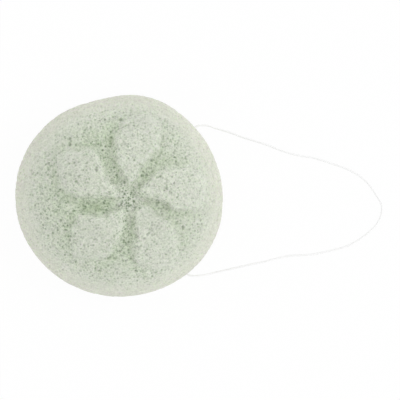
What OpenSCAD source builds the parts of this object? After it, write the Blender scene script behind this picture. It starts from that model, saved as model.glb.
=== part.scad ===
// Konjac face sponge: a soft domed puff with a raised flower on its face, and a thin
// string that runs through it from side to side, is knotted inside it and lies beside
// it as a loop to hang it by.
// The origin is the middle of the flat back that the puff rests on. +X points to the
// loop, and +Z out of the face.

/* [Sponge] */
// Width of the puff, towards the loop
body_w = 80; // [64:1:96]
// Depth of the puff, across the loop
body_d = 77.5; // [62:0.5:93]
// Height of the face's crown, without the petals
crown_h = 28.5; // [22:0.5:36]
// Height of the puff's widest line
waist_h = 12; // [9:0.5:16]
// How far the edge of the flat back lies inside the widest line
back_inset = 7; // [4:0.5:10]

/* [Flower] */
// How far the petals reach from the flower's middle
petal_l = 30; // [24:0.5:36]
// Radius of the petals' corners
petal_round = 2; // [1:0.1:3]
// Height of the petals above the face
petal_h = 3.6; // [1:0.2:6]
// Width of the soft slope along a petal's outline
petal_slope = 3; // [1.5:0.1:5]
// Distance from the flower's middle at which a petal has its full height
petal_start = 7; // [3:0.5:12]
// How far the mound where the petals meet reaches
hub_reach = 12; // [6:0.5:16]
// Distance of the flower's middle from the puff's, towards the loop
flower_x = 2.7; // [-4:0.1:4]
// Distance of the flower's middle from the puff's, across the loop
flower_y = -1; // [-4:0.1:4]

/* [String] */
// Diameter of the string
string_d = 0.8; // [0.6:0.1:1.2]
// Gap between the string and its channel, all round
string_gap = 0.08; // [0.05:0.01:0.1]
// Height of the channel above the flat back
channel_h = 5; // [4:0.25:8]
// Distance of the channel from the puff's middle
channel_x = 27.9; // [22:0.1:30]
// Turn of the channel from square to the loop, in degrees
channel_turn = 3.2; // [0:0.2:6]
// Depth inside the puff at which the loop meets the string's inner stretch
loop_seat = 2; // [1:0.5:4]

/* [Knot] */
// Diameter of the knot inside the puff
knot_d = 2.6; // [2:0.1:4]
// Length of the knot along the string
knot_l = 3; // [2:0.1:5]
// Length of the cut ends that stand out of the knot
tail_l = 2.5; // [1:0.1:4]
// Gap between the knot and its pocket, all round
knot_gap = 0.1; // [0.05:0.01:0.2]

/* [Hidden] */
$fn = 48;

// How many facets the puff has round its outline, below its widest line and above it
sectors = 62;
back_rings = 3;
face_rings = 17;
// How the face's rings spread: under 1, fewer lie near the crown
ring_power = 0.8;

// How square the dome's shoulder is: 2 gives an ellipse
dome_power = 2.4;
// Share of the way in from the waist over which the petals' relief fades in
rim_fade_share = 0.6;
// Share of the petals' height that the mound has
hub_share = 0.2;

// Lumps of the hand-filled outline: direction, spread in degrees and share of the radius
lump_shares = [
    [22, 20, -0.012],
    [75, 14, 0.022],
    [103, 14, -0.027],
    [180, 25, 0.009],
    [322, 20, 0.014],
];

// Each petal's corners about the flower's middle, a corner's radius inside its outline, as
// shares of the petals' reach
petal_shares = [
    [
        [0.02, 0.23], [0.1, 0.41], [0.31, 0.69], [0.33, 0.9], [0.24, 0.98],
        [0.09, 0.98], [-0.05, 0.88], [-0.11, 0.73], [-0.1, 0.53], [-0.07, 0.38],
    ],
    [
        [0.14, 0.06], [0.25, 0.08], [0.43, 0.04], [0.56, -0.07], [0.84, -0.08], [0.93, 0.02],
        [0.93, 0.2], [0.84, 0.3], [0.71, 0.33], [0.42, 0.32], [0.3, 0.21],
    ],
    [
        [0.1, -0.09], [0.14, -0.37], [0.14, -0.47], [0.11, -0.6], [0.16, -0.75], [0.26, -0.83],
        [0.38, -0.85], [0.54, -0.82], [0.56, -0.67], [0.52, -0.43], [0.44, -0.33], [0.28, -0.21],
    ],
    [
        [-0.1, -0.18], [-0.27, -0.27], [-0.59, -0.27], [-0.64, -0.4], [-0.66, -0.62],
        [-0.61, -0.69], [-0.36, -0.69], [-0.26, -0.62], [-0.19, -0.47], [-0.12, -0.3],
    ],
    [
        [-0.21, 0.07], [-0.42, 0.06], [-0.6, 0.07], [-0.73, 0.13], [-0.79, 0.22], [-0.82, 0.48],
        [-0.77, 0.53], [-0.46, 0.54], [-0.39, 0.37], [-0.32, 0.22],
    ],
];

// The string's lead straight out of a mouth, and the pitch of its rings
lead_l = 2 * string_d;
ring_pitch = 3 * string_d;
string_sides = 8;

// The loop on the table, from the upper mouth to its far bend and back to the lower
// mouth: places beside the mouth, and the height of the string's underside
upper_run = [
    [1.0, 2.4, 4.4],
    [2.5, 2.9, 3.9],
    [5.7, 2.9, 2.1],
    [9.0, 1.9, 0.5],
    [13.8, 0.5, 0],
    [20.8, -2.0, 0],
    [27.8, -4.1, 0],
    [34.3, -6.6, 0],
    [40.8, -8.5, 0],
    [47.8, -9.7, 0],
    [54.9, -11.9, 0],
    [62.0, -14.6, 0],
    [67.8, -18.6, 0],
    [71.6, -23.6, 0],
    [74.1, -28.5, 0],
];
lower_run = [
    [75.7, 18.3, 0],
    [70.4, 12.9, 0],
    [64.0, 9.0, 0],
    [56.8, 6.9, 0],
    [48.7, 5.4, 0],
    [39.7, 4.8, 0],
    [31.7, 2.9, 0],
    [23.7, 1.2, 0],
    [15.7, -0.6, 0],
    [11.2, -1.6, 0.5],
    [7.7, -2.3, 2.1],
    [4.7, -2.7, 3.6],
    [2.4, -2.7, 4.3],
    [0.9, -2.3, 4.4],
];

// Plain sums and a soft step from 0 to 1
function total(list) = list * [for (value = list) 1];
function soft_step(x) = let (c = max(0, min(1, x))) c * c * (3 - 2 * c);
function angle_between(a, b) = abs(((a - b) % 360 + 540) % 360 - 180);

// The outline as a lumpy circle of radius 1, then fitted to the puff's width and depth
function lumpy_r(a) = 1 + total([
    for (l = lump_shares) l[2] * exp(-pow(angle_between(a, l[0]) / l[1], 2) / 2)
]);
lumpy_ring = [
    for (i = [0:sectors - 1]) let (a = 360 * i / sectors) lumpy_r(a) * [cos(a), sin(a)]
];
lumpy_low = [for (k = [0:1]) min([for (p = lumpy_ring) p[k]])];
lumpy_high = [for (k = [0:1]) max([for (p = lumpy_ring) p[k]])];
lumpy_mid = (lumpy_low + lumpy_high) / 2;
fit = [
    body_w / (lumpy_high.x - lumpy_low.x),
    body_d / (lumpy_high.y - lumpy_low.y),
];
outline = [
    for (p = lumpy_ring) [(p.x - lumpy_mid.x) * fit.x, (p.y - lumpy_mid.y) * fit.y]
];

// Share of the outline that the puff has at a height between its back and its waist
function back_share(z) =
    let (drop = max(0, waist_h - z) / waist_h)
    1 - back_inset / (body_w / 2) * (1 - sqrt(1 - drop * drop));

// The petals' relief at a place on the face, from 0 in the valleys to 1 on a petal
flower = [flower_x, flower_y];
petals = [for (shares = petal_shares) [for (share = shares) flower + petal_l * share]];
function edge_gap(p, a, b) =
    let (way = b - a, t = max(0, min(1, (p - a) * way / (way * way))))
    norm(p - a - t * way);
function is_crossed(p, a, b) =
    (a.y > p.y) != (b.y > p.y) && a.x + (b.x - a.x) * (p.y - a.y) / (b.y - a.y) > p.x;
function inside_petal(p, petal) =
    let (
        ends = [for (i = [0:len(petal) - 1]) [petal[i], petal[(i + 1) % len(petal)]]],
        gap = min([for (e = ends) edge_gap(p, e[0], e[1])]),
        crossed = total([for (e = ends) is_crossed(p, e[0], e[1]) ? 1 : 0])
    )
    petal_round + (crossed % 2 == 1 ? gap : -gap);
function relief(p) =
    let (
        away = norm(p - flower),
        inside = max([for (petal = petals) inside_petal(p, petal)]),
        petal_rise = soft_step(inside / petal_slope + 1 / 2) * soft_step(away / petal_start),
        hub_rise = hub_share * (1 - soft_step(away / hub_reach))
    )
    max(hub_rise, petal_rise);

// A point of the face: s is 1 at the waist and 0 at the crown
function face_point(s, edge) =
    let (
        p = flower + s * (edge - flower),
        dome = (crown_h - waist_h) * sqrt(1 - pow(s, dome_power)),
        flourish = petal_h * relief(p) * soft_step((1 - s) / rim_fade_share)
    )
    [p.x, p.y, waist_h + dome + flourish];
function face_share(j) = pow(sin(90 * (1 - j / face_rings)), ring_power);

back_levels = [for (j = [0:back_rings - 1]) waist_h * (1 - cos(90 * j / back_rings))];
puff_rings = concat(
    [for (z = back_levels) [for (e = outline) [e.x * back_share(z), e.y * back_share(z), z]]],
    [for (j = [0:face_rings - 1]) [for (e = outline) face_point(face_share(j), e)]]
);

// The line of the channel, by the distance along it from the puff's middle
channel_way = [sin(channel_turn), cos(channel_turn), 0];
function channel_at(s) = [channel_x, 0, channel_h] + s * channel_way;
function in_puff(p) =
    let (
        k = back_share(p.z),
        q = [p.x / k / fit.x + lumpy_mid.x, p.y / k / fit.y + lumpy_mid.y]
    )
    norm(q) < lumpy_r(atan2(q.y, q.x));
function mouth(inner, outer, halvings) =
    let (middle = (inner + outer) / 2)
    halvings == 0 ? middle
    : in_puff(channel_at(middle)) ? mouth(middle, outer, halvings - 1)
    : mouth(inner, middle, halvings - 1);
upper_mouth = mouth(0, body_d, 24);
lower_mouth = mouth(0, -body_d, 24);
knot_at = (upper_mouth + lower_mouth) / 2;

// The loop's route: out of the upper mouth, round on the table and into the lower one
function beside(mouth_at, run) =
    let (m = channel_at(mouth_at))
    [for (p = run) [m.x + p[0], m.y + p[1], p[2] + string_d / 2]];
route = concat(
    [for (s = [-loop_seat, lead_l / 2, lead_l]) channel_at(upper_mouth + s)],
    beside(upper_mouth, upper_run),
    beside(lower_mouth, lower_run),
    [for (s = [lead_l, lead_l / 2, -loop_seat]) channel_at(lower_mouth - s)]
);

// A smooth curve through the route: unit directions at its points, then each span
function unit(v) = v / norm(v);
last = len(route) - 1;
ways = [for (i = [0:last]) unit(route[min(i + 1, last)] - route[max(i - 1, 0)])];
function on_span(i, t) =
    let (
        reach = norm(route[i + 1] - route[i]),
        a = t * t * (3 - 2 * t),
        b = t * (1 - t) * (1 - t),
        c = t * t * (t - 1)
    )
    route[i] * (1 - a) + route[i + 1] * a + reach * (ways[i] * b + ways[i + 1] * c);
function span_steps(i) = max(1, round(norm(route[i + 1] - route[i]) / ring_pitch));
loop_line = concat(
    [for (i = [0:last - 1]) for (k = [0:span_steps(i) - 1]) on_span(i, k / span_steps(i))],
    [route[last]]
);

// Faces of a skin over rings of points, each ring running the same way round. Each four
// points are split along the flatter diagonal.
function skin_faces(points, rings, sides) = [
    for (j = [0:rings - 2]) for (i = [0:sides - 1])
        let (
            a = j * sides + i,
            b = j * sides + (i + 1) % sides,
            c = b + sides,
            d = a + sides,
            is_flatter = abs(points[b].z - points[d].z) < abs(points[a].z - points[c].z)
        )
        each is_flatter ? [[a, d, b], [b, d, c]] : [[a, d, c], [a, c, b]]
];
// Faces that close a ring on one point
function fan_faces(first, sides, point, upward) = [
    for (i = [0:sides - 1])
        let (a = first + i, b = first + (i + 1) % sides)
        upward ? [point, b, a] : [point, a, b]
];

module tube(line, d, sides) {
    n = len(line) - 1;
    rings = [
        for (j = [0:n])
            let (
                way = unit(line[min(j + 1, n)] - line[max(j - 1, 0)]),
                side = unit(cross([0, 0, 1], way)),
                rise = cross(way, side)
            )
            [
                for (i = [0:sides - 1])
                    let (a = 360 * (i + 1 / 2) / sides)
                    line[j] + d / 2 * (cos(a) * side + sin(a) * rise)
            ]
    ];
    points = concat([for (ring = rings) each ring], [line[0], line[n]]);
    polyhedron(points, concat(
        skin_faces(points, n + 1, sides),
        fan_faces(0, sides, (n + 1) * sides, false),
        fan_faces(n * sides, sides, (n + 1) * sides + 1, true)
    ));
}

// Places its children on the channel's line, with their +Z along it
module on_channel(s) {
    translate(channel_at(s)) rotate([0, 0, -channel_turn]) rotate([-90, 0, 0]) children();
}

module puff() {
    count = len(puff_rings);
    crown = face_point(0, outline[0]);
    points = concat([for (ring = puff_rings) each ring], [[0, 0, 0], crown]);
    polyhedron(points, concat(
        skin_faces(points, count, sectors),
        fan_faces(0, sectors, count * sectors, false),
        fan_faces((count - 1) * sectors, sectors, count * sectors + 1, true)
    ));
}

module sponge_body() {
    pocket_l = knot_l + 2 * (tail_l + knot_gap);
    color("#d2dccb")
    difference() {
        puff();
        on_channel(knot_at) cylinder(h = 2 * body_d, d = string_d + 2 * string_gap, center = true);
        on_channel(knot_at) cylinder(h = pocket_l, d = knot_d + 2 * knot_gap, center = true);
    }
}

module string_loop() {
    color("#f6f5f1") tube(loop_line, string_d, string_sides);
}

// The stretches inside the puff, from the loop's ends to the knot
module string_core() {
    upper_l = upper_mouth - loop_seat - knot_at - knot_l / 2;
    lower_l = knot_at - knot_l / 2 - lower_mouth - loop_seat;
    color("#f6f5f1") {
        on_channel(knot_at + knot_l / 2) cylinder(h = upper_l, d = string_d);
        on_channel(lower_mouth + loop_seat) cylinder(h = lower_l, d = string_d);
    }
}

// The knot that joins the string's two ends, with a cut end standing out on each side
module string_knot() {
    belly = knot_d / 2 - string_d;
    color("#f6f5f1")
    on_channel(knot_at) {
        rotate_extrude()
        union() {
            translate([0, -knot_l / 2]) square([string_d, knot_l]);
            translate([string_d, 0]) scale([belly, knot_l / 2]) circle(r = 1);
        }
        for (way = [-1, 1])
            translate([0, way * (knot_d - string_d) / 2, 0])
            rotate([way > 0 ? 0 : 180, 0, 0])
            cylinder(h = knot_l / 2 + tail_l, d = string_d);
    }
}

sponge_body();
string_loop();
string_core();
string_knot();
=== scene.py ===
import math
from collections import namedtuple

import bpy
import numpy as np
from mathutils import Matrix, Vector


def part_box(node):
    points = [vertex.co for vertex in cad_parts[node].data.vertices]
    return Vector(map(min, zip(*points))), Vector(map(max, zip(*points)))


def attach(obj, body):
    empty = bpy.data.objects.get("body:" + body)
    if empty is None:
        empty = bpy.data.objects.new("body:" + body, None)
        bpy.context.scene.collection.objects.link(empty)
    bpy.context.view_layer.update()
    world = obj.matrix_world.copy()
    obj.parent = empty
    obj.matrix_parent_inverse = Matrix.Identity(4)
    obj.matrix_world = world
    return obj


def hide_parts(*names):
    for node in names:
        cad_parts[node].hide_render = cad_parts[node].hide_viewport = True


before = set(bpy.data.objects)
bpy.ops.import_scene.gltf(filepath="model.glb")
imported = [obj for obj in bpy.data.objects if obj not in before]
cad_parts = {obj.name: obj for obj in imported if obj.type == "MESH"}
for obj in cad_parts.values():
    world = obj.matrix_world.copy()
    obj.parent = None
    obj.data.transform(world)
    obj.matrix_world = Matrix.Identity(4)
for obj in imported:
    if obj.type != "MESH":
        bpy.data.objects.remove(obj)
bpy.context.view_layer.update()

# Konjac face sponge: a domed foam puff with a raised flower on its face, and a thin twisted
# string that is threaded through its edge, knotted inside it, and lies beside it as a loop.
# Lengths here are in millimetres and angles in degrees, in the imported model's frame. They
# become metres where they are multiplied by MM.
MM = 0.001
UP = np.array([0, 0, 1])

# The puff's sizes: its width and depth, the heights of its crown and its widest line, how
# far the back's edge lies inside that line, how full the dome is, the share of the radius
# over which the flower fades, and the sectors of its outline
body_low, body_high = (np.array(corner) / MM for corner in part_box("sponge_body"))
BODY_SIZE = (body_high - body_low)[:2]
CROWN_H = 28.5
WAIST_H = 12.0
BACK_INSET = 7.0
DOME_POWER = 2.4
RIM_FADE_SHARE = 0.6
OUTLINE_SECTORS = 62

# The outline's lumps: the direction and the spread of each, and its share of the radius
LUMP_SHARES = [
    (22, 20, -0.012),
    (75, 14, 0.022),
    (103, 14, -0.027),
    (180, 25, 0.009),
    (322, 20, 0.014),
]

# The flower: its middle, how far its longest petal reaches, the radius of the petals'
# corners, their height, the width of their slope, and how far from the middle they are whole
FLOWER = np.array([2.7, -1.0])
PETAL_L = 30.0
PETAL_ROUND = 2.0
PETAL_H = 3.6
PETAL_SLOPE = 3.0
PETAL_START = 7.0

# The low mound that the petals meet on: its reach, its share of the petals' height, and how
# much more open the pores are there
HUB_REACH = 12.0
HUB_SHARE = 0.2
HUB_OPEN_SHARE = 0.9

# The petals' outlines waver: how far, how long the waves are, between which shares of that
# length, how many there are, and a seed for each axis
WAVER = 0.35
WAVER_SIZE = 5.0
WAVER_SPREAD = (0.7, 1.4)
WAVER_COUNT = 12
WAVER_SEEDS = (1, 2)

# Each petal's corners about the flower's middle, a corner's radius inside its outline, as
# shares of the petals' length
PETAL_SHARES = [
    [(0.02, 0.23), (0.1, 0.41), (0.31, 0.69), (0.33, 0.9), (0.24, 0.98),
     (0.09, 0.98), (-0.05, 0.88), (-0.11, 0.73), (-0.1, 0.53), (-0.07, 0.38)],
    [(0.14, 0.06), (0.25, 0.08), (0.43, 0.04), (0.56, -0.07), (0.84, -0.08), (0.93, 0.02),
     (0.93, 0.2), (0.84, 0.3), (0.71, 0.33), (0.42, 0.32), (0.3, 0.21)],
    [(0.1, -0.09), (0.14, -0.37), (0.14, -0.47), (0.11, -0.6), (0.16, -0.75), (0.26, -0.83),
     (0.38, -0.85), (0.54, -0.82), (0.56, -0.67), (0.52, -0.43), (0.44, -0.33), (0.28, -0.21)],
    [(-0.1, -0.18), (-0.27, -0.27), (-0.59, -0.27), (-0.64, -0.4), (-0.66, -0.62),
     (-0.61, -0.69), (-0.36, -0.69), (-0.26, -0.62), (-0.19, -0.47), (-0.12, -0.3)],
    [(-0.21, 0.07), (-0.42, 0.06), (-0.6, 0.07), (-0.73, 0.13), (-0.79, 0.22), (-0.82, 0.48),
     (-0.77, 0.53), (-0.46, 0.54), (-0.39, 0.37), (-0.32, 0.22)],
]

# The crease round a petal's outer end: its distance outside the petal's outline, reach and
# depth, how far it counts as a groove, which also gives it the grooves' painted shade, and
# how far from the flower's middle it starts and is whole
CREASE_AWAY = 1.8
CREASE_REACH = 1.0
CREASE_H = 0.4
CREASE_SHARE = 0.4
CREASE_START = 12.0
CREASE_WHOLE = 22.0

# Where the grooves are pressed deeper than elsewhere, or less deep: each place, its reach,
# and the share by which it is deeper. A share of 1 is this much deeper. A deeper groove
# also takes more of the grooves' painted shade in its colour.
PRESSED_H = 0.4
PRESSED = [
    (-12.5, -4.3, 2.4, 0.5),
    (-8.0, -4.3, 2.2, 0.5),
    (-4.5, -3.4, 2.0, 0.3),
    (3.5, 1.0, 2.0, 0.4),
    (-4.5, 22.5, 2.2, 0.5),
    (2.0, -13.5, 2.0, 0.3),
    (-1.0, 5.0, 3.0, -0.4),
    (-5.0, 14.0, 4.0, -0.3),
    (3.0, -6.5, 3.5, -0.5),
    (1.0, -20.0, 3.0, -0.4),
    (15.0, -4.0, 3.0, -0.4),
    (16.5, 18.5, 3.0, -0.5),
    (-19.5, -9.0, 2.5, -0.4),
    (23.0, -11.0, 3.0, -0.6),
    (-9.0, 27.0, 6.0, 0.5),
]

# Where the pores are fainter than elsewhere, or stronger: each place, its reach, and the
# share by which they are fainter
FAINT = [
    (32.0, 0.0, 10.0, 0.22),
    (24.0, -16.0, 8.0, 0.28),
    (14.0, 18.0, 4.0, 0.3),
    (11.0, -8.0, 3.5, 0.3),
    (8.0, 32.0, 8.0, 0.35),
    (-28.0, 14.0, 6.0, 0.3),
    (-31.5, -1.0, 4.0, 0.2),
    (-18.0, 17.0, 3.0, 0.3),
    (-3.0, -26.0, 6.0, 0.2),
    (-12.0, -14.0, 3.0, 0.3),
    (-3.0, 10.0, 8.0, -0.15),
    (6.0, 22.0, 4.0, -0.25),
    (16.0, 1.0, 5.0, -0.15),
    (2.0, -14.0, 6.0, -0.2),
]

# The skin starts this far over the surface from the crown, and is whole this much further.
# It starts sooner or later near some directions: each, its spread, and how much later.
SKIN_START = 28
SKIN_WIDTH = 18
SKIN_SHIFTS = [
    (15, 40, -2.5),
    (190, 30, 0.3),
]

# Off the petals, pores close towards the rim near some directions: each, its spread, and
# the share by which they close. They start to close this far over the surface from the
# crown, and have closed this much further.
CLOSED_START = 20
CLOSED_WIDTH = 8
CLOSED_SHARES = [
    (115, 30, 0.45),
    (20, 35, 0.4),
    (262, 25, 0.4),
]

# The string, its channel through the puff and the knot's pocket in it: the string's gap in
# the channel, the channel's height, place and turn, how deep in it the loop's curve starts,
# how far the loop leaves it straight, and the knot, its cut ends and its gap in the pocket
STRING_D = 0.8
STRING_GAP = 0.08
CHANNEL_H = 5.0
CHANNEL_X = 27.9
CHANNEL_TURN = 3.2
LOOP_SEAT = 2.0
LEAD_L = 2 * STRING_D
KNOT_D = 2.6
KNOT_L = 3.0
TAIL_L = 2.5
KNOT_GAP = 0.1

# The foam is drawn in this much round a mouth of the channel, and this far from it
DIMPLE_H = 0.5
DIMPLE_REACH = 1.6

# The loop on the table: places beside the upper and the lower mouth, and the height of
# the string's underside
UPPER_RUN = [
    (1.0, 2.4, 4.4),
    (2.5, 2.9, 3.9),
    (5.7, 2.9, 2.1),
    (9.0, 1.9, 0.5),
    (13.8, 0.5, 0),
    (20.8, -2.0, 0),
    (27.8, -4.1, 0),
    (34.3, -6.6, 0),
    (40.8, -8.5, 0),
    (47.8, -9.7, 0),
    (54.9, -11.9, 0),
    (62.0, -14.6, 0),
    (67.8, -18.6, 0),
    (71.6, -23.6, 0),
    (74.1, -28.5, 0),
]
LOWER_RUN = [
    (75.7, 18.3, 0),
    (70.4, 12.9, 0),
    (64.0, 9.0, 0),
    (56.8, 6.9, 0),
    (48.7, 5.4, 0),
    (39.7, 4.8, 0),
    (31.7, 2.9, 0),
    (23.7, 1.2, 0),
    (15.7, -0.6, 0),
    (11.2, -1.6, 0.5),
    (7.7, -2.3, 2.1),
    (4.7, -2.7, 3.6),
    (2.4, -2.7, 4.3),
    (0.9, -2.3, 4.4),
]


def soft_step(x):
    c = np.clip(x, 0, 1)
    return c * c * (3 - 2 * c)


def turn_between(a, b):
    return np.abs((a - b + 180) % 360 - 180)


def toward(angle):
    """Unit vectors in the plane, one row for each angle."""
    turn = np.radians(np.asarray(angle, float))
    return np.stack([np.cos(turn), np.sin(turn)], -1)


def circle(sides):
    return toward(np.arange(sides) * 360 / sides)


def near_directions(base, angle, rows):
    """The base, with each row's amount added near its direction."""
    for direction, spread, amount in rows:
        base = base + amount * np.exp(-((turn_between(angle, direction) / spread) ** 2) / 2)
    return base


def near_places(place, rows):
    """The sum of the rows' shares, each fading with the distance from its place."""
    away = [((place - [x, y]) ** 2).sum(-1) / reach**2 for x, y, reach, _ in rows]
    return sum(row[3] * np.exp(-gap / 2) for row, gap in zip(rows, away))


def srgb(red, green, blue):
    """A shader colour from the 0 to 255 values that a screen shows."""
    shown = np.array([red, green, blue]) / 255
    linear = np.where(shown <= 0.04045, shown / 12.92, ((shown + 0.055) / 1.055) ** 2.4)
    return (*linear.tolist(), 1.0)


def new_object(name, data):
    made = bpy.data.objects.new(name, data)
    bpy.context.scene.collection.objects.link(made)
    return made


def new_mesh(name, points, faces):
    mesh = bpy.data.meshes.new(name)
    mesh.from_pydata((points * MM).tolist(), [], faces)
    return mesh


# The outline is a lumpy circle, fitted to the puff's width and depth
def lumpy_radius(angle):
    return near_directions(np.ones(np.shape(angle)), angle, LUMP_SHARES)


ring_angles = np.arange(OUTLINE_SECTORS) * 360 / OUTLINE_SECTORS
ring_points = lumpy_radius(ring_angles)[:, None] * toward(ring_angles)
ring_low, ring_high = ring_points.min(0), ring_points.max(0)
RING_MIDDLE = (ring_low + ring_high) / 2
RING_FIT = BODY_SIZE / (ring_high - ring_low)


def edge_at(angle):
    return (lumpy_radius(angle)[..., None] * toward(angle) - RING_MIDDLE) * RING_FIT


def inside_petal(place, shares):
    """Distance inside a petal's outline, which is negative outside it."""
    corners = FLOWER + PETAL_L * np.array(shares)
    nearest = np.full(len(place), np.inf)
    within = np.zeros(len(place), bool)
    for start, end in zip(corners, np.roll(corners, -1, axis=0)):
        way = end - start
        off = place - start
        t = np.clip(off @ way / (way @ way), 0, 1)
        nearest = np.minimum(nearest, np.hypot(*(off - t[:, None] * way).T))
        straddles = (start[1] > place[:, 1]) != (end[1] > place[:, 1])
        within ^= straddles & ((way[0] * off[:, 1] - way[1] * off[:, 0]) * way[1] > 0)
    return np.where(within, nearest, -nearest) + PETAL_ROUND


def waver(place, seed):
    """A smooth random field of waves, about from -1 to 1."""
    random = np.random.default_rng(seed)
    angle = random.uniform(0, 360, WAVER_COUNT)
    length = WAVER_SIZE * random.uniform(*WAVER_SPREAD, WAVER_COUNT)
    push = toward(angle) * 2 * math.pi / length[:, None]
    start = random.uniform(0, 2 * math.pi, WAVER_COUNT)
    return np.cos(place @ push.T + start).sum(-1) / math.sqrt(WAVER_COUNT)


def petal_relief(place):
    """Share of the petals' height that the face has, and how near a place is to a crease."""
    place = place + WAVER * np.stack([waver(place, seed) for seed in WAVER_SEEDS], -1)
    across = np.hypot(*(place - FLOWER).T)
    inside = np.max([inside_petal(place, petal) for petal in PETAL_SHARES], axis=0)
    petals = soft_step(inside / PETAL_SLOPE + 0.5) * soft_step(across / PETAL_START)
    hub = HUB_SHARE * (1 - soft_step(across / HUB_REACH))
    crease = np.exp(-(((inside + CREASE_AWAY) / CREASE_REACH) ** 2) / 2)
    crease = crease * soft_step((across - CREASE_START) / (CREASE_WHOLE - CREASE_START))
    return np.maximum(hub, petals), crease


def back_share(height):
    """Share of the outline that the puff has at a height below its waist."""
    drop = np.clip(WAIST_H - height, 0, None) / WAIST_H
    return 1 - BACK_INSET / (BODY_SIZE[0] / 2) * (1 - np.sqrt(1 - drop * drop))


# The channel's direction, and the level direction across it
channel_turn = math.radians(CHANNEL_TURN)
CHANNEL_WAY = np.array([math.sin(channel_turn), math.cos(channel_turn), 0])
CHANNEL_SIDE = np.array([CHANNEL_WAY[1], -CHANNEL_WAY[0], 0])


def channel_at(distance):
    return np.array([CHANNEL_X, 0, CHANNEL_H]) + distance * CHANNEL_WAY


def in_puff(point):
    q = point[:2] / back_share(point[2]) / RING_FIT + RING_MIDDLE
    return np.hypot(*q) < lumpy_radius(math.degrees(math.atan2(q[1], q[0])))


# The channel's mouths, by their distance along it from the puff's middle, are found by
# halving a stretch this many times
MOUTH_HALVINGS = 24


def mouth(inner, outer):
    for _ in range(MOUTH_HALVINGS):
        middle = (inner + outer) / 2
        inner, outer = (middle, outer) if in_puff(channel_at(middle)) else (inner, middle)
    return (inner + outer) / 2


UPPER_MOUTH = mouth(0, BODY_SIZE[1])
LOWER_MOUTH = mouth(0, -BODY_SIZE[1])
KNOT_AT = (UPPER_MOUTH + LOWER_MOUTH) / 2


# The camera looks down, leaning a little from the left: where it looks, from how far, its
# lean, the width of what it sees there, and the width of its sensor
VIEW_MIDDLE = Vector((31.0, -1.6, 12.0)) * MM
VIEW_DISTANCE = 1000.0 * MM
VIEW_LEAN = 5.0
VIEW_WIDTH = 153.5 * MM
SENSOR = 36.0


def make_camera():
    data = bpy.data.cameras.new("camera")
    data.sensor_width = SENSOR
    data.lens = SENSOR * VIEW_DISTANCE / VIEW_WIDTH
    camera = new_object("camera", data)
    lean = math.radians(VIEW_LEAN)
    back = Vector((-math.sin(lean), 0, math.cos(lean)))
    camera.location = VIEW_MIDDLE + back * VIEW_DISTANCE
    camera.rotation_euler = (0, -lean, 0)
    bpy.context.scene.camera = camera


class Nodes:
    """Adds nodes to a material's or a mesh modifier's tree. An input is a number, a colour,
    or the socket that feeds it, and is named, or numbered where several share a name."""

    def __init__(self, tree):
        self.tree = tree

    def add(self, kind, inputs=None, **settings):
        node = self.tree.nodes.new(kind)
        for name, value in settings.items():
            setattr(node, name, value)
        for name, value in (inputs or {}).items():
            if isinstance(value, bpy.types.NodeSocket):
                self.tree.links.new(value, node.inputs[name])
            else:
                node.inputs[name].default_value = value
        return node

    def math(self, operation, a, b=0.0, c=0.0, clamp=False):
        inputs = {0: a, 1: b, 2: c}
        node = self.add("ShaderNodeMath", inputs, operation=operation, use_clamp=clamp)
        return node.outputs[0]

    def vector(self, operation, a, b):
        return self.add("ShaderNodeVectorMath", {0: a, 1: b}, operation=operation).outputs[0]

    def ramp(self, value, low, high, out_low=0.0, out_high=1.0):
        """Runs softly from out_low at low to out_high at high."""
        inputs = {
            "Value": value,
            "From Min": low,
            "From Max": high,
            "To Min": out_low,
            "To Max": out_high,
        }
        node = self.add("ShaderNodeMapRange", inputs, interpolation_type="SMOOTHSTEP")
        return node.outputs[0]

    def noise(self, place, size, detail=2.0):
        """Noise from 0 to 1 whose lumps have this size."""
        inputs = {"Vector": place, "Scale": 1 / size, "Detail": detail}
        return self.add("ShaderNodeTexNoise", inputs)

    def blend(self, share, a, b, kind="MIX"):
        inputs = {0: share, 6: a, 7: b}
        return self.add("ShaderNodeMix", inputs, data_type="RGBA", blend_type=kind).outputs[2]


def new_material(name):
    """A material with an empty tree, and what adds nodes to it."""
    material = bpy.data.materials.new(name)
    material.use_nodes = True
    material.node_tree.nodes.clear()
    return material, Nodes(material.node_tree)


# The foam's pores, from large to small: the spacing of their middles, their radius as a
# share of it, the share of middles that are open, their depth, and how dark they are, which
# is partly the foam's own green and partly painted shade in the holes
Pore = namedtuple("Pore", "spacing radius_share open_share depth dark")
PORES = {
    "large": Pore(2.4, 0.42, 0.22, 0.7, 0.75),
    "middle": Pore(0.95, 0.85, 1.0, 0.35, 0.63),
    "small": Pore(0.6, 0.9, 1.0, 0.15, 0.42),
}

# On the skin pores have this share of their radius. In the grooves this many times as many
# are open, and the change lies between these two depths of groove.
SKIN_PORE_SHARE = 0.75
GROOVE_OPEN_TIMES = 2.0
GROOVE_OPEN_DEPTHS = (0.5, 2.0)

# Pores differ by chance: the range of chance, and the share of their full radius or depth
# that they have at either end of it
CHANCE_RADIUS = (-0.2, 1.2, 0.45, 1.0)
CHANCE_DEPTH = (0.0, 1.0, 0.35, 1.0)

# A pore's flat floor reaches this share of its radius
FLOOR_SHARE = 0.25

# How far noise moves the pores' edges, so that they aren't round, and the noise's size
WARP = 0.6
WARP_SIZE = 1.0


def pore_place(nodes, place):
    """The place moved about by noise."""
    noise = nodes.noise(place, WARP_SIZE)
    off = nodes.vector("SUBTRACT", noise.outputs["Color"], (0.5, 0.5, 0.5))
    return nodes.vector("ADD", place, nodes.vector("MULTIPLY", off, (WARP, WARP, WARP)))


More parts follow.
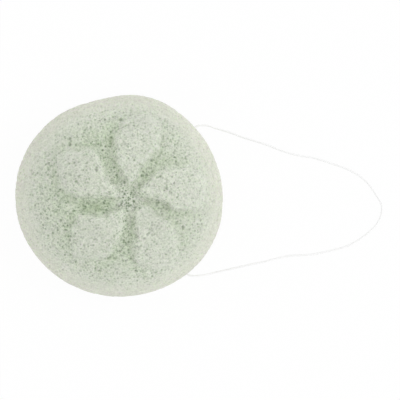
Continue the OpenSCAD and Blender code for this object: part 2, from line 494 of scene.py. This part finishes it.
def pores(nodes, warped, size, skin, groove):
    """0 between the pores of one size, and up to 1 in the middle of each. They are smaller
    towards the skin, and more of them are open in the grooves."""
    pore = PORES[size]
    cells = nodes.add("ShaderNodeTexVoronoi", {"Vector": warped, "Scale": 1 / pore.spacing})
    chance = nodes.add("ShaderNodeSeparateXYZ", {0: cells.outputs["Color"]})
    smallest = pore.radius_share * SKIN_PORE_SHARE
    widest = nodes.ramp(skin, 0.0, 1.0, pore.radius_share, smallest)
    radius = nodes.math("MULTIPLY", nodes.ramp(chance.outputs[0], *CHANCE_RADIUS), widest)
    pit = nodes.ramp(nodes.math("DIVIDE", cells.outputs["Distance"], radius), 1.0, FLOOR_SHARE)
    groove_share = pore.open_share * GROOVE_OPEN_TIMES
    most_open = nodes.ramp(groove, *GROOVE_OPEN_DEPTHS, pore.open_share, groove_share)
    is_open = nodes.math("LESS_THAN", chance.outputs[1], most_open)
    depth = nodes.math("MULTIPLY", is_open, nodes.ramp(chance.outputs[2], *CHANCE_DEPTH))
    return nodes.math("MULTIPLY", pit, depth)


# The puff's mesh: a shell from the crown over the waist to the edge of the back, and the
# back, both square grids laid on a disc. The shell's side is worked out at many places.
SHELL_GRID = 276
BACK_GRID = SHELL_GRID // 2
TABLE_STEPS = 4000

# The skin's fine streaks run round the puff, this many times longer than wide
STREAK_STRETCH = 9.0

# The puff's texture map holds the shell's square above the back's
MAP_EDGE = 0.006
BACK_MAP_TOP = 0.36


def disc_grid(count):
    """Share of the radius, and angle, of each point of a square grid laid on a disc."""
    side = np.linspace(-1, 1, count + 1)
    a, b = np.meshgrid(side, side, indexing="ij")
    wide = np.abs(a) > np.abs(b)
    radius = np.where(wide, a, b)
    other = np.where(wide, b, a)
    ratio = np.divide(other, radius, out=np.zeros_like(radius), where=radius != 0)
    angle = np.where(wide, 45 * ratio, 90 - 45 * ratio)
    angle = np.where(radius < 0, angle + 180, angle) % 360
    return np.abs(radius).ravel(), angle.ravel()


def grid_edge(count):
    """Indices of a grid's border points, in order round it."""
    up = np.arange(count)
    full = np.full(count, count)
    none = np.zeros(count, int)
    i = np.concatenate([up, full, count - up, none])
    j = np.concatenate([none, up, full, count - up])
    return i * (count + 1) + j


def grid_faces(first, count):
    """The faces of a square grid whose points start at this index."""
    at = first + np.arange((count + 1) ** 2).reshape(count + 1, count + 1)
    return np.stack([at[:-1, :-1], at[1:, :-1], at[1:, 1:], at[:-1, 1:]], -1).reshape(-1, 4)


def shell_profile():
    """Distance over the surface from the crown, the share of the outline and the height, at
    many places down the shell's side."""
    turn = np.linspace(0, math.pi / 2, TABLE_STEPS)
    face_share = np.sin(turn)
    dome = np.sqrt(np.clip(1 - face_share**DOME_POWER, 0, 1))
    face_height = WAIST_H + (CROWN_H - WAIST_H) * dome
    side_height = WAIST_H * (1 - np.sin(turn[1:]))
    share = np.concatenate([face_share, back_share(side_height)])
    height = np.concatenate([face_height, side_height])
    steps = np.hypot(np.diff(share) * BODY_SIZE.mean() / 2, np.diff(height))
    return np.concatenate([[0], np.cumsum(steps)]), share, height


profile_way, profile_share, profile_height = shell_profile()
WAIST_WAY = profile_way[TABLE_STEPS - 1]
SIDE_END = profile_way[-1]


def shell_points(radius, angle):
    """Points of the shell, the distance over it from the crown to each, how deep in the
    grooves each lies, and how far it lies off the petals or on their mound."""
    way = radius * SIDE_END
    share = np.interp(way, profile_way, profile_share)
    height = np.interp(way, profile_way, profile_height)
    edge = edge_at(angle)
    on_face = (way <= WAIST_WAY)[:, None]
    plan = np.where(on_face, FLOWER + share[:, None] * (edge - FLOWER), share[:, None] * edge)
    relief, crease = petal_relief(plan)
    pressed = near_places(plan, PRESSED) * (1 - relief)
    fade = soft_step((1 - share) / RIM_FADE_SHARE) * on_face[:, 0]
    # The depth of groove also darkens the foam's colour, as painted shade in the grooves
    groove = (1 - relief + pressed + CREASE_SHARE * crease) * fade
    rise = PETAL_H * relief - PRESSED_H * pressed - CREASE_H * crease
    hub = 1 - soft_step(np.hypot(*(plan - FLOWER).T) / HUB_REACH)
    valley = (1 - relief + HUB_OPEN_SHARE * hub) * on_face[:, 0]
    return np.column_stack([plan, height + rise * fade]), way, groove, valley


def skin_share(way, angle):
    """How far the moulded skin covers the foam, from 0 on the face to 1 on the side."""
    return soft_step((way - near_directions(SKIN_START, angle, SKIN_SHIFTS)) / SKIN_WIDTH)


def valley_pores(way, angle):
    """How open the pores off the petals are, which close towards some parts of the rim."""
    closed = near_directions(0, angle, CLOSED_SHARES)
    return 1 - closed * soft_step((way - CLOSED_START) / CLOSED_WIDTH)


def dimple(points, at):
    """Draws the foam in round a mouth of the channel."""
    inward = np.append(-at[:2] / np.hypot(*at[:2]), 0)
    away = np.linalg.norm(points - at, axis=1)
    pull = DIMPLE_H * np.exp(-((away / DIMPLE_REACH) ** 2))
    return points + pull[:, None] * inward


def write_attribute(mesh, name, values):
    kind = "FLOAT" if values.ndim == 1 else "FLOAT_VECTOR"
    attribute = mesh.attributes.new(name, kind, "POINT")
    attribute.data.foreach_set("value" if values.ndim == 1 else "vector", values.ravel())


def puff_faces(first_back):
    """The shell's faces, the back's, and the triangles that join their edges."""
    shell = grid_faces(0, SHELL_GRID)
    back = grid_faces(first_back, BACK_GRID)[:, [0, 3, 2, 1]]
    outer = grid_edge(SHELL_GRID)
    inner = first_back + grid_edge(BACK_GRID)
    a, b, c = outer[0::2], outer[1::2], np.roll(outer, -2)[0::2]
    d, e = inner, np.roll(inner, -1)
    rim = np.concatenate([np.stack(t, -1) for t in ((a, d, b), (b, d, e), (b, e, c))])
    return shell, back, rim


def puff_mesh():
    shell_radius, shell_angle = disc_grid(SHELL_GRID)
    shell, shell_way, shell_groove, shell_valley = shell_points(shell_radius, shell_angle)
    shell_valley = shell_valley * valley_pores(shell_way, shell_angle)
    back_radius, back_angle = disc_grid(BACK_GRID)
    back_radius = back_radius * (1 - 1 / BACK_GRID)
    none = np.zeros(len(back_radius))
    back_plan = back_radius[:, None] * (back_share(0.0) * edge_at(back_angle))
    back = np.column_stack([back_plan, none])
    back_way = SIDE_END + (1 - back_radius) * BODY_SIZE.mean() / 2 * back_share(0.0)

    points = np.vstack([shell, back])
    for distance in (UPPER_MOUTH, LOWER_MOUTH):
        points = dimple(points, channel_at(distance))
    faces = puff_faces(len(shell))
    mesh = new_mesh("sponge", points, [face for group in faces for face in group.tolist()])

    angle = np.concatenate([shell_angle, back_angle])
    way = np.concatenate([shell_way, back_way])
    around = toward(angle) * BODY_SIZE.mean() / 2 / STREAK_STRETCH
    attributes = {
        "puff_place": points,
        "streak_place": np.column_stack([around, way]),
        "skin": skin_share(way, angle),
        "groove": np.concatenate([shell_groove, none]),
        "valley": np.concatenate([shell_valley, none]),
        "faint": near_places(points[:, :2], FAINT),
    }
    for name, values in attributes.items():
        write_attribute(mesh, name, values)
    lay_out_puff(mesh, len(shell), *faces)
    mesh.shade_smooth()
    return mesh


def map_square(face_points, count, low, high, inset):
    """Places of a grid's points on the texture map, in a square from low to high."""
    i, j = np.divmod(face_points, count + 1)
    u, v = (inset + (1 - 2 * inset) * x / count for x in (i, j))
    width = 1 - 2 * MAP_EDGE
    return np.stack([MAP_EDGE + width * u, low + (high - low) * v], -1)


def lay_out_puff(mesh, first_back, shell_faces, back_faces, rim_faces):
    """Lays the shell, the back and the rim between them out on the texture map."""

    def on_back(face_points, count, inset):
        return map_square(face_points, count, MAP_EDGE, BACK_MAP_TOP, inset)

    shell_low = BACK_MAP_TOP + 2 * MAP_EDGE
    shell = map_square(shell_faces, SHELL_GRID, shell_low, 1 - MAP_EDGE, 0.0)
    back_inset = 0.5 / BACK_GRID
    back = on_back(back_faces - first_back, BACK_GRID, back_inset)
    is_back = rim_faces >= first_back
    rim_inner = on_back(np.where(is_back, rim_faces - first_back, 0), BACK_GRID, back_inset)
    rim_outer = on_back(np.where(is_back, 0, rim_faces), SHELL_GRID, 0.0)
    rim = np.where(is_back[..., None], rim_inner, rim_outer)
    corners = np.concatenate([x.reshape(-1, 2) for x in (shell, back, rim)])
    layer = mesh.uv_layers.new(name="OFBake")
    layer.data.foreach_set("uv", corners.ravel())


# How much of the pores' depth the mesh takes, and the share of that on the skin
MESH_PORES = 0.8
SKIN_SINK_SHARE = 0.3

# The slow unevenness of hand-moulded foam, and the small bumps of its skin, whose hollows
# sink between these levels of noise
UNEVEN_SIZE = 7.0
UNEVEN_DEPTH = 0.35
BUMP_SIZE = 1.7
BUMP_DEPTH = 0.75
BUMP_LEVELS = (0.4, 0.9)


def sink_pores(puff):
    """Presses the large and middle pores, the unevenness and the skin's bumps into the mesh,
    only inward, and applies it."""
    tree = bpy.data.node_groups.new("sink_pores", "GeometryNodeTree")
    for way in ("INPUT", "OUTPUT"):
        tree.interface.new_socket("Geometry", in_out=way, socket_type="NodeSocketGeometry")
    nodes = Nodes(tree)

    def named(name, kind):
        inputs = {"Name": name}
        return nodes.add("GeometryNodeInputNamedAttribute", inputs, data_type=kind).outputs[0]

    place = named("puff_place", "FLOAT_VECTOR")
    skin = named("skin", "FLOAT")
    groove = named("groove", "FLOAT")
    warped = pore_place(nodes, place)
    large = pores(nodes, warped, "large", skin, groove)
    large = nodes.math("MULTIPLY", large, PORES["large"].depth * MESH_PORES)
    middle = pores(nodes, warped, "middle", skin, groove)
    middle = nodes.math("MULTIPLY", middle, PORES["middle"].depth * MESH_PORES)
    depth = nodes.math("ADD", large, middle)
    depth = nodes.math("MULTIPLY", depth, nodes.ramp(skin, 0.0, 1.0, 1.0, SKIN_SINK_SHARE))
    uneven = nodes.math("MULTIPLY", nodes.noise(place, UNEVEN_SIZE).outputs[0], UNEVEN_DEPTH)
    depth = nodes.math("ADD", depth, uneven)
    bumps = nodes.noise(place, BUMP_SIZE).outputs[0]
    bumps = nodes.ramp(bumps, *BUMP_LEVELS, 0.0, BUMP_DEPTH)
    depth = nodes.math("ADD", depth, nodes.math("MULTIPLY", bumps, skin))
    normal = nodes.add("GeometryNodeInputNormal").outputs[0]
    inward = {0: normal, "Scale": nodes.math("MULTIPLY", depth, -MM)}
    offset = nodes.add("ShaderNodeVectorMath", inward, operation="SCALE").outputs[0]
    source = nodes.add("NodeGroupInput").outputs[0]
    moved = nodes.add("GeometryNodeSetPosition", {"Geometry": source, "Offset": offset})
    nodes.add("NodeGroupOutput", {0: moved.outputs[0]})
    puff.modifiers.new("sink_pores", "NODES").node_group = tree
    apply_modifiers(puff)


def apply_modifiers(piece):
    graph = bpy.context.evaluated_depsgraph_get()
    mesh = bpy.data.meshes.new_from_object(
        piece.evaluated_get(graph), preserve_all_data_layers=True, depsgraph=graph
    )
    piece.modifiers.clear()
    piece.data = mesh


BORE_SIDES = 32


def bore_mesh(length, diameter):
    """A closed rod along the channel, with its middle at the knot."""
    turn = circle(BORE_SIDES) * diameter / 2
    ring = turn[:, :1] * CHANNEL_SIDE + turn[:, 1:] * UP
    ends = [channel_at(KNOT_AT + way * length / 2) + ring for way in (-1, 1)]
    walls = [(i, (i + 1) % BORE_SIDES) for i in range(BORE_SIDES)]
    faces = [(a, b, b + BORE_SIDES, a + BORE_SIDES) for a, b in walls]
    faces += [tuple(range(BORE_SIDES))[::-1], tuple(range(BORE_SIDES, 2 * BORE_SIDES))]
    return new_mesh("bore", np.vstack(ends), faces)


def bore_channel(puff):
    """Cuts the string's channel, and the knot's pocket in it, out of the puff."""
    sizes = [
        (2 * BODY_SIZE[1], STRING_D + 2 * STRING_GAP),
        (KNOT_L + 2 * (TAIL_L + KNOT_GAP), KNOT_D + 2 * KNOT_GAP),
    ]
    cutters = [new_object("bore", bore_mesh(length, diameter)) for length, diameter in sizes]
    for cutter in cutters:
        cut = puff.modifiers.new("bore", "BOOLEAN")
        cut.operation = "DIFFERENCE"
        cut.solver = "EXACT"
        cut.object = cutter
    apply_modifiers(puff)
    for cutter in cutters:
        bpy.data.objects.remove(cutter)


# The foam's colours: its strands on the face; in the grooves, greener and darker, the dark
# partly painted shade; where a groove is deepest, darker still, partly painted shade; on the
# skin; and the dark of its pores, partly the foam's own green and partly painted shade
STRANDS = srgb(224, 228, 215)
GROOVE_GREEN_AND_SHADE = srgb(218, 226, 207)
DEEPEST_GREEN_AND_SHADE = srgb(200, 212, 186)
SKIN = srgb(223, 225, 211)
PORE_GREEN_AND_SHADE = srgb(108, 134, 96)

# How open and dark the pores are, by the skin, off the petals, by the depth of the groove
# and on the petals' mound: a range, and the share at either end. Their dark is partly
# painted shade.
SKIN_OPEN = (0.0, 0.7, 1.0, 0.36)
VALLEY_OPEN = (0.0, 1.0, 0.75, 1.05)
GROOVE_OPEN = (0.6, 2.0, 1.0, 1.25)
HUB_OPEN = (1.0, 1.7, 1.0, 1.18)

# Where a groove's colour, partly painted shade, starts is ragged, and it is weaker on the
# mound: a range, and how far the depth of groove counts as more or less at either end. Then
# come the depths, and the share of skin, between which each colour takes over.
RAGGED_SHIFT = (0.2, 0.8, -0.3, 0.3)
HUB_SHIFT = (1.0, 1.7, 0.0, 0.6)
GROOVE_DEPTHS = (0.0, 1.0)
DEEPEST_DEPTHS = (1.0, 2.0)
SKIN_SHARES = (0.2, 1.0)

# The foam's noises have these sizes. All but the ragged one change its tone, and so do the
# places where pores are faint: a range, and the tone at either end.
PATCH_SIZE = 9.0
RAGGED_SIZE = 2.5
STREAK_SIZE = 0.8
FINE_SIZE = 0.7
PATCH_TONE = (0.3, 0.7, 0.97, 1.0)
FINE_TONE = (0.25, 0.75, 0.92, 1.06)
STREAK_TONE = (0.3, 0.7, 0.96, 1.02)
FAINT_TONE = (-0.3, 0.3, 1.03, 0.96)

# The heights of fine noise and streaks in the material, next to the pores' depths
FINE_H = 0.12
STREAK_H = 0.05


def foam_material():
    material, nodes = new_material("konjac_foam")

    def named(name, output):
        return nodes.add("ShaderNodeAttribute", attribute_name=name).outputs[output]

    place = named("puff_place", "Vector")
    skin = named("skin", "Fac")
    groove = named("groove", "Fac")
    valley = named("valley", "Fac")
    faint = named("faint", "Fac")
    warped = pore_place(nodes, place)
    pits = {size: pores(nodes, warped, size, skin, groove) for size in PORES}
    fine = nodes.noise(place, FINE_SIZE).outputs[0]
    patches = nodes.noise(place, PATCH_SIZE).outputs[0]
    ragged = nodes.noise(place, RAGGED_SIZE).outputs[0]
    streaks = nodes.noise(named("streak_place", "Vector"), STREAK_SIZE).outputs[0]

    # Pores are darkest in the grooves, paler on the petals and nearly closed on the skin. Their
    # dark is partly the foam's own green and partly painted shade in the holes.
    openness = nodes.ramp(skin, *SKIN_OPEN)
    openness = nodes.math("MULTIPLY", openness, nodes.ramp(valley, *VALLEY_OPEN))
    openness = nodes.math("MULTIPLY", openness, nodes.ramp(groove, *GROOVE_OPEN))
    openness = nodes.math("MULTIPLY", openness, nodes.ramp(valley, *HUB_OPEN))
    openness = nodes.math("MULTIPLY", openness, nodes.math("SUBTRACT", 1.0, faint))
    dark = 0.0
    for size, pore in PORES.items():
        dark = nodes.math("MAXIMUM", dark, nodes.math("MULTIPLY", pits[size], pore.dark))
    dark = nodes.math("MULTIPLY", dark, openness, clamp=True)

    # The grooves' colours are greener and darker than the strands: partly the foam's own tint
    # and partly painted shade, darkest where a groove is deepest
    groove_shade_depth = nodes.math("ADD", groove, nodes.ramp(ragged, *RAGGED_SHIFT))
    groove_shade_depth = nodes.math("SUBTRACT", groove_shade_depth, nodes.ramp(valley, *HUB_SHIFT))
    colour = nodes.blend(nodes.ramp(groove_shade_depth, *GROOVE_DEPTHS), STRANDS, GROOVE_GREEN_AND_SHADE)
    colour = nodes.blend(nodes.ramp(groove_shade_depth, *DEEPEST_DEPTHS), colour, DEEPEST_GREEN_AND_SHADE)
    colour = nodes.blend(nodes.ramp(skin, *SKIN_SHARES), colour, SKIN)
    tone = nodes.ramp(patches, *PATCH_TONE)
    tone = nodes.math("MULTIPLY", tone, nodes.ramp(fine, *FINE_TONE))
    tone = nodes.math("MULTIPLY", tone, nodes.ramp(streaks, *STREAK_TONE))
    tone = nodes.math("MULTIPLY", tone, nodes.ramp(faint, *FAINT_TONE))
    colour = nodes.blend(1.0, colour, tone, "MULTIPLY")
    colour = nodes.blend(dark, colour, PORE_GREEN_AND_SHADE)

    height = 0.0
    for size, pore in PORES.items():
        height = nodes.math("ADD", height, nodes.math("MULTIPLY", pits[size], -pore.depth))
    height = nodes.math("MULTIPLY", height, openness)
    height = nodes.math("ADD", height, nodes.math("MULTIPLY", fine, FINE_H))
    height = nodes.math("ADD", height, nodes.math("MULTIPLY", streaks, STREAK_H))
    bump = nodes.add("ShaderNodeBump", {"Height": height, "Strength": 0.5, "Distance": MM})
    shader = nodes.add(
        "ShaderNodeBsdfPrincipled",
        {
            "Base Color": colour,
            "Roughness": 0.92,
            "Specular IOR Level": 0.25,
            "Subsurface Weight": 0.7,
            "Subsurface Radius": (0.9, 1.1, 0.8),
            "Subsurface Scale": 1.6 * MM,
            "Normal": bump.outputs[0],
        },
    )
    nodes.add("ShaderNodeOutputMaterial", {"Surface": shader.outputs[0]})
    return material


# The string's colours: between its fibres, a little darker as painted shade, on them, and
# where it is a little yellowed. Then come the size, detail and levels of the noises that
# place them, and the fibres' depth.
STRING_SHADE = srgb(251, 251, 251)
STRING_PALE = srgb(255, 255, 255)
STRING_YELLOWED = srgb(250, 250, 249)
FIBRE_SIZE = 0.12
FIBRE_DETAIL = 3.0
FIBRE_LEVELS = (0.25, 0.75)
FIBRE_DEPTH = 0.05
YELLOWED_SIZE = 6.0
YELLOWED_SHARES = (0.4, 0.7, 0.0, 0.3)


def string_material():
    material, nodes = new_material("cotton_string")
    place = nodes.add("ShaderNodeTexCoord").outputs["Object"]
    place = nodes.vector("MULTIPLY", place, (1 / MM, 1 / MM, 1 / MM))
    fibres = nodes.noise(place, FIBRE_SIZE, FIBRE_DETAIL).outputs[0]
    yellowed = nodes.ramp(nodes.noise(place, YELLOWED_SIZE).outputs[0], *YELLOWED_SHARES)
    colour = nodes.blend(nodes.ramp(fibres, *FIBRE_LEVELS), STRING_SHADE, STRING_PALE)
    colour = nodes.blend(yellowed, colour, STRING_YELLOWED)
    relief = {"Height": fibres, "Strength": 0.25, "Distance": FIBRE_DEPTH * MM}
    bump = nodes.add("ShaderNodeBump", relief)
    shader = nodes.add(
        "ShaderNodeBsdfPrincipled",
        {
            "Base Color": colour,
            "Roughness": 0.8,
            "Specular IOR Level": 0.3,
            "Normal": bump.outputs[0],
        },
    )
    nodes.add("ShaderNodeOutputMaterial", {"Surface": shader.outputs[0]})
    return material


# The string's plies: how many, their radius and distance from the string's middle as
# shares of its radius, the length of a whole twist, and the fineness of their mesh
PLIES = 3
PLY_RADIUS_SHARE = 0.57
PLY_OFFSET_SHARE = 0.43
TWIST_L = 2.6
PLY_SIDES = 7
RING_STEP = 0.32

# Any direction that no ply starts along
SKEW = np.array([0.3, 0.2, 1])


def unit(v):
    return v / np.linalg.norm(v)


def steps_of(line):
    return np.linalg.norm(np.diff(line, axis=0), axis=1)


def ways_of(line):
    """A line's direction at each of its points."""
    way = np.gradient(line, axis=0)
    return way / np.linalg.norm(way, axis=1)[:, None]


def loop_route():
    """The route of the loop's middle line, from inside the upper mouth to inside the lower."""

    def beside(distance, run):
        at = channel_at(distance)
        return [np.array([at[0] + x, at[1] + y, lift + STRING_D / 2]) for x, y, lift in run]

    out = [channel_at(UPPER_MOUTH + s) for s in (-LOOP_SEAT, LEAD_L / 2, LEAD_L)]
    back = [channel_at(LOWER_MOUTH - s) for s in (LEAD_L, LEAD_L / 2, -LOOP_SEAT)]
    return out + beside(UPPER_MOUTH, UPPER_RUN) + beside(LOWER_MOUTH, LOWER_RUN) + back


def smooth_line(route):
    """A smooth curve through the route's points."""
    last = len(route) - 1
    ways = [unit(route[min(i + 1, last)] - route[max(i - 1, 0)]) for i in range(last + 1)]
    line = []
    for i in range(last):
        reach = np.linalg.norm(route[i + 1] - route[i])
        count = round(reach / RING_STEP)
        for t in np.arange(count) / count:
            a = t * t * (3 - 2 * t)
            b = t * (1 - t) ** 2
            c = t * t * (t - 1)
            bend = reach * (ways[i] * b + ways[i + 1] * c)
            line.append(route[i] * (1 - a) + route[i + 1] * a + bend)
    return np.array([*line, route[last]])


def straight_line(start, end):
    count = max(1, round(np.linalg.norm(end - start) / RING_STEP))
    return start + np.linspace(0, 1, count + 1)[:, None] * (end - start)


def string_line():
    """The string's middle line, from one side of the knot round the loop to the other."""
    upper = straight_line(channel_at(KNOT_AT + KNOT_L / 2), channel_at(UPPER_MOUTH - LOOP_SEAT))
    lower = straight_line(channel_at(LOWER_MOUTH + LOOP_SEAT), channel_at(KNOT_AT - KNOT_L / 2))
    return np.vstack([upper[:-1], smooth_line(loop_route()), lower[1:]])


def twisted(line):
    """The plies' middle lines, wound round the string's own."""
    way = ways_of(line)
    side = np.empty_like(way)
    side[0] = unit(np.cross(way[0], UP))
    for i in range(1, len(way)):
        side[i] = unit(side[i - 1] - way[i] * (side[i - 1] @ way[i]))
    rise = np.cross(way, side)
    gone = np.concatenate([[0], np.cumsum(steps_of(line))])
    plies = []
    for ply in range(PLIES):
        turn = toward(360 * (gone / TWIST_L + ply / PLIES)) * PLY_OFFSET_SHARE * STRING_D / 2
        plies.append(line + turn[:, :1] * side + turn[:, 1:] * rise)
    return plies


def tubes(lines, radius, sides):
    """Points and faces of a closed round tube along each line."""
    points, faces = [], []
    turn = circle(sides) * radius
    for line in lines:
        first = len(points)
        ways = ways_of(line)
        side = unit(np.cross(ways[0], SKEW))
        for at, way in zip(line, ways):
            side = unit(side - way * (side @ way))
            rise = np.cross(way, side)
            points += list(at + turn[:, :1] * side + turn[:, 1:] * rise)
        for ring in range(len(line) - 1):
            a = first + ring * sides
            for i in range(sides):
                j = (i + 1) % sides
                faces.append((a + i, a + j, a + sides + j, a + sides + i))
        faces.append(tuple(range(first, first + sides))[::-1])
        faces.append(tuple(range(len(points) - sides, len(points))))
    return np.array(points), faces


def plied_mesh(name, lines):
    """One mesh of twisted string along each of the lines."""
    plies = [ply for line in lines for ply in twisted(line)]
    mesh = new_mesh(name, *tubes(plies, PLY_RADIUS_SHARE * STRING_D / 2, PLY_SIDES))
    mesh.shade_smooth()
    return mesh


# The knot: each end passes through the other's coil and winds its own round the other,
# and its cut end lies along the string. First the share of half the knot, to either side
# of its middle, over which an end crosses to its coil, then the coil's radius, its turns
# and the direction that it starts in.
CROSS_SHARE = 0.25
COIL_RADIUS = STRING_D
COIL_TURNS = 1.4
COIL_START = 90

# How far off the middle a cut end lies, where one part in this many of its length takes it
TAIL_RADIUS = (KNOT_D - STRING_D) / 2
TAIL_BEND = 3

# The points of the line in each stretch
CORE_POINTS = 8
CROSS_POINTS = 10
COIL_POINTS = 60
TAIL_POINTS = 14


def knot_strand(way):
    """One end's middle line, from where it enters the knot to where it is cut."""
    half = KNOT_L / 2
    cross = half * CROSS_SHARE
    core = np.linspace(half, cross, CORE_POINTS)
    across = np.linspace(cross, -cross, CROSS_POINTS)[1:]
    coil = np.linspace(-cross, -half, COIL_POINTS)[1:]
    tail = np.linspace(-half, -half - TAIL_L, TAIL_POINTS)[1:]
    distance = np.concatenate([core, across, coil, tail])
    lift = soft_step((cross - distance) / (2 * cross)) * COIL_RADIUS
    tail_share = soft_step((-half - distance) / TAIL_L * TAIL_BEND)
    lift = lift + tail_share * (TAIL_RADIUS - COIL_RADIUS)
    wound = np.clip((-cross - distance) / (half * (1 - CROSS_SHARE)), 0, 1)
    turn = toward(360 * COIL_TURNS * wound + COIL_START) * lift[:, None]
    line = way * (distance[:, None] * CHANNEL_WAY + turn[:, 1:] * UP)
    return channel_at(KNOT_AT) + line + turn[:, :1] * CHANNEL_SIDE


def add_piece(name, mesh, material, body, slot, *nodes):
    piece = new_object(name, mesh)
    mesh.materials.append(material)
    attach(piece, body)
    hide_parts(*nodes)
    return piece


def make_string():
    look = string_material()
    line = string_line()
    knot_mesh = plied_mesh("knot", [knot_strand(1), knot_strand(-1)])
    knot = add_piece("knot", knot_mesh, look, "string", "string", "string_knot")
    mesh = plied_mesh("hanging_string", [line])
    nodes = ("string_loop", "string_core")
    string = add_piece("hanging_string", mesh, look, "string", "string", *nodes)


def make_sponge():
    puff = add_piece("sponge", puff_mesh(), foam_material(), "sponge", "foam", "sponge_body")
    sink_pores(puff)
    bore_channel(puff)


# The floor is white to the camera but for a faint shadow, and only pale to the light that
# it throws back. It lies just under the puff, so that the two don't touch.
FLOOR_SIZE = 3000.0
FLOOR_DROP = 0.02
FLOOR_COLOUR = (0.96, 0.96, 0.96, 1)
FLOOR_GLOW = 0.95
WHITE = (1, 1, 1, 1)

# The sky is white to the camera too, and lights the puff at this level. The lamp is broad
# and soft: its height above the floor, its direction in plan, its level and its width.
SKY_LEVEL = 0.88
SUN_HEIGHT = 40
SUN_DIRECTION = 10
SUN_LEVEL = 0.5
SUN_WIDTH = 35


def make_stage():
    corners = np.array([(-1, -1, 0), (1, -1, 0), (1, 1, 0), (-1, 1, 0)])
    mesh = new_mesh("floor", corners * FLOOR_SIZE / 2, [(0, 1, 2, 3)])
    floor = new_object("floor", mesh)
    floor.location.z = -FLOOR_DROP * MM
    material, nodes = new_material("floor")
    pale = nodes.add("ShaderNodeBsdfDiffuse", {"Color": FLOOR_COLOUR})
    glow = nodes.add("ShaderNodeEmission", {"Color": WHITE, "Strength": 1.0})
    share = nodes.math("MULTIPLY", seen_directly(nodes), FLOOR_GLOW)
    both = nodes.add("ShaderNodeMixShader", {0: share, 1: pale.outputs[0], 2: glow.outputs[0]})
    nodes.add("ShaderNodeOutputMaterial", {"Surface": both.outputs[0]})
    mesh.materials.append(material)


def seen_directly(nodes):
    """1 for what the camera sees, also in gloss and through glass, and 0 for its light."""
    path = nodes.add("ShaderNodeLightPath")
    seen = nodes.math("MAXIMUM", path.outputs["Is Camera Ray"], path.outputs["Is Glossy Ray"])
    return nodes.math("MAXIMUM", seen, path.outputs["Is Transmission Ray"])


def make_world():
    world = bpy.data.worlds.new("sky")
    bpy.context.scene.world = world
    world.use_nodes = True
    world.node_tree.nodes.clear()
    nodes = Nodes(world.node_tree)
    strength = nodes.math("MULTIPLY_ADD", seen_directly(nodes), 1 - SKY_LEVEL, SKY_LEVEL)
    sky = nodes.add("ShaderNodeBackground", {"Color": WHITE, "Strength": strength})
    nodes.add("ShaderNodeOutputWorld", {"Surface": sky.outputs[0]})


def make_lamp():
    data = bpy.data.lights.new("key", "SUN")
    data.energy = SUN_LEVEL
    data.angle = math.radians(SUN_WIDTH)
    lamp = new_object("key", data)
    height = math.radians(SUN_HEIGHT)
    back = Vector((*(toward(SUN_DIRECTION) * math.cos(height)), math.sin(height)))
    lamp.rotation_euler = (-back).to_track_quat("-Z", "Y").to_euler()


make_camera()
make_string()
make_sponge()
make_stage()
make_world()
make_lamp()
bpy.context.scene.view_settings.view_transform = "Standard"
